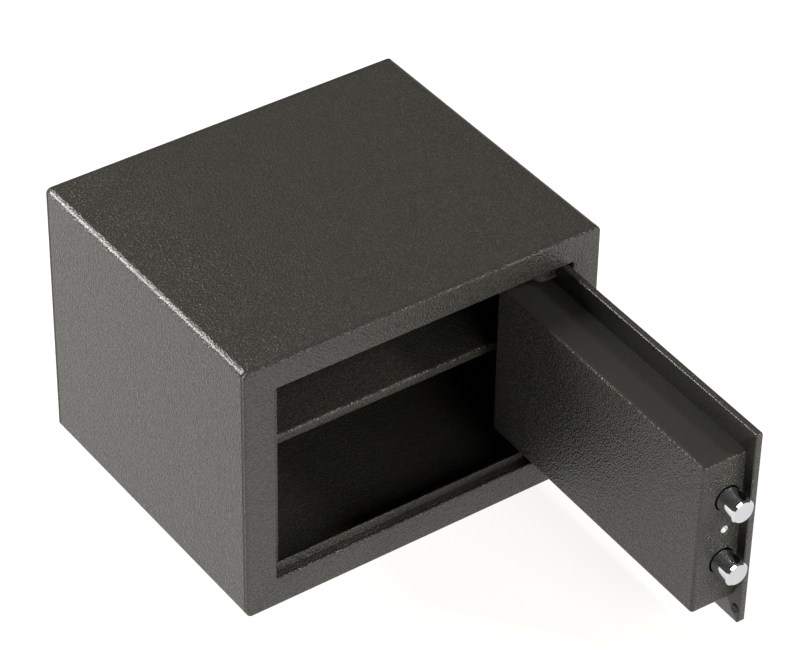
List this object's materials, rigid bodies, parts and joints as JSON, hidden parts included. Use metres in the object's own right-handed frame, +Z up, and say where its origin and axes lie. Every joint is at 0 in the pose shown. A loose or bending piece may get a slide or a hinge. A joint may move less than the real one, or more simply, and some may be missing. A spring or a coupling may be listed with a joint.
{
  "type": "portable car safe",
  "caption": "Small steel safe with an open plate door, inner shelf, folded lock cover, round locking bolts worked by a knob, and a push-button keypad.",
  "frame": {"origin": "middle of the body's footprint, on the surface it stands on", "axes": "+Z up, -Y out of the front opening, +X towards the pivot side of the front"},
  "size_m": [0.35, 0.5657, 0.255],
  "materials": {
    "hammertone": "dark grey hammertone powder coat",
    "zinc_steel": "zinc plated steel",
    "chrome": "polished",
    "brass": "plain turned brass",
    "rubber": "black rubber",
    "black_plastic": "fine textured black",
    "coil_black": "dark wound coil in a wrapped case",
    "board_green": "green circuit board",
    "led_red": "tinted clear lens",
    "battery_case": "printed metal case",
    "key_grey": "pale grey"
  },
  "bodies": {
    "cabinet": {"body_wrapper": "hammertone", "back_panel": "hammertone", "front_frame": "hammertone", "sill_strip": "hammertone", "head_strip": "hammertone", "strike_strip": "hammertone", "pivot_bracket_top": "hammertone", "pivot_bracket_bottom": "hammertone", "thrust_washers": "brass", "shelf": "hammertone", "shelf_rails": "hammertone"},
    "door": {"door_plate": "hammertone", "lock_cover": "hammertone", "cover_blocks": "zinc_steel", "cover_screws": "chrome", "corner_bumper": "rubber", "door_arm_top": "hammertone", "door_arm_bottom": "hammertone", "pivot_pins": "zinc_steel", "bolt_guide": "zinc_steel", "guide_studs": "zinc_steel", "spindle_bush": "brass", "knob_rose": "black_plastic", "keypad_housing": "black_plastic", "key_mat": "rubber", "circuit_board": "board_green", "status_leds": "led_red", "battery": "battery_case", "keypad_screws": "zinc_steel", "cable_grommet": "rubber", "solenoid_bracket": "zinc_steel", "solenoid_coil": "coil_black", "plunger_spring": "chrome", "lock_cylinder": "chrome", "lock_nut": "zinc_steel", "key_rose": "black_plastic", "key_cover_rivet": "chrome"},
    "bolt_work": {"bolt_carriage": "zinc_steel", "bolt_upper": "chrome", "bolt_lower": "chrome"},
    "turn_knob": {"knob": "black_plastic", "knob_spindle": "zinc_steel"},
    "lock_plunger": {"plunger": "chrome"},
    "keyhole_cover": {"key_cover": "black_plastic"},
    "emergency_plug": {"lock_plug": "chrome", "lock_cam": "zinc_steel"},
    "lid": {"battery_lid": "black_plastic"},
    "button_1": {"key_1": "key_grey"},
    "button_2": {"key_2": "key_grey"},
    "button_3": {"key_3": "key_grey"},
    "button_4": {"key_4": "key_grey"},
    "button_5": {"key_5": "key_grey"},
    "button_6": {"key_6": "key_grey"},
    "button_7": {"key_7": "key_grey"},
    "button_8": {"key_8": "key_grey"},
    "button_9": {"key_9": "key_grey"},
    "button_star": {"key_star": "key_grey"},
    "button_0": {"key_0": "key_grey"},
    "button_hash": {"key_hash": "key_grey"}
  },
  "joints": [
    {"name": "door_swing", "type": "hinge", "parent": "cabinet", "child": "door", "pos_m": [0.1277, -0.1324, 0.129], "axis": [0, 0, 1], "range_deg": [-88.6, 9]},
    {"name": "bolt_slide", "type": "slide", "parent": "door", "child": "bolt_work", "axis": [0.0244, 0.9997, 0], "range_m": [0, 0.02]},
    {"name": "knob_turn", "type": "hinge", "parent": "door", "child": "turn_knob", "pos_m": [0.13983, -0.31562, 0.132], "axis": [-0.9997, 0.0244, 0], "range_deg": [0, 90]},
    {"name": "plunger_slide", "type": "slide", "parent": "door", "child": "lock_plunger", "axis": [0, 0, 1], "range_m": [0, 0.005], "deforming": ["plunger_spring"]},
    {"name": "key_cover_swing", "type": "hinge", "parent": "door", "child": "keyhole_cover", "pos_m": [0.14074, -0.27813, 0.114], "axis": [-0.9997, 0.0244, 0], "range_deg": [-110, 20]},
    {"name": "plug_turn", "type": "hinge", "parent": "door", "child": "emergency_plug", "pos_m": [0.14074, -0.27813, 0.1], "axis": [-0.9997, 0.0244, 0], "range_deg": [0, 90]},
    {"name": "battery_lid_pull", "type": "slide", "parent": "door", "child": "lid", "axis": [0.9997, -0.0244, 0], "range_m": [0, 0.012]},
    {"name": "press_1", "type": "slide", "parent": "door", "child": "button_1", "axis": [-0.9997, 0.0244, 0], "range_m": [0, 0.0012], "stiffness_N_per_m": 200},
    {"name": "press_2", "type": "slide", "parent": "door", "child": "button_2", "axis": [-0.9997, 0.0244, 0], "range_m": [0, 0.0012], "stiffness_N_per_m": 200},
    {"name": "press_3", "type": "slide", "parent": "door", "child": "button_3", "axis": [-0.9997, 0.0244, 0], "range_m": [0, 0.0012], "stiffness_N_per_m": 200},
    {"name": "press_4", "type": "slide", "parent": "door", "child": "button_4", "axis": [-0.9997, 0.0244, 0], "range_m": [0, 0.0012], "stiffness_N_per_m": 200},
    {"name": "press_5", "type": "slide", "parent": "door", "child": "button_5", "axis": [-0.9997, 0.0244, 0], "range_m": [0, 0.0012], "stiffness_N_per_m": 200},
    {"name": "press_6", "type": "slide", "parent": "door", "child": "button_6", "axis": [-0.9997, 0.0244, 0], "range_m": [0, 0.0012], "stiffness_N_per_m": 200},
    {"name": "press_7", "type": "slide", "parent": "door", "child": "button_7", "axis": [-0.9997, 0.0244, 0], "range_m": [0, 0.0012], "stiffness_N_per_m": 200},
    {"name": "press_8", "type": "slide", "parent": "door", "child": "button_8", "axis": [-0.9997, 0.0244, 0], "range_m": [0, 0.0012], "stiffness_N_per_m": 200},
    {"name": "press_9", "type": "slide", "parent": "door", "child": "button_9", "axis": [-0.9997, 0.0244, 0], "range_m": [0, 0.0012], "stiffness_N_per_m": 200},
    {"name": "press_star", "type": "slide", "parent": "door", "child": "button_star", "axis": [-0.9997, 0.0244, 0], "range_m": [0, 0.0012], "stiffness_N_per_m": 200},
    {"name": "press_0", "type": "slide", "parent": "door", "child": "button_0", "axis": [-0.9997, 0.0244, 0], "range_m": [0, 0.0012], "stiffness_N_per_m": 200},
    {"name": "press_hash", "type": "slide", "parent": "door", "child": "button_hash", "axis": [-0.9997, 0.0244, 0], "range_m": [0, 0.0012], "stiffness_N_per_m": 200}
  ],
  "couplings": [
    {"joint": "knob_turn", "follows": "bolt_slide", "rad_per_m": 78.5}
  ]
}
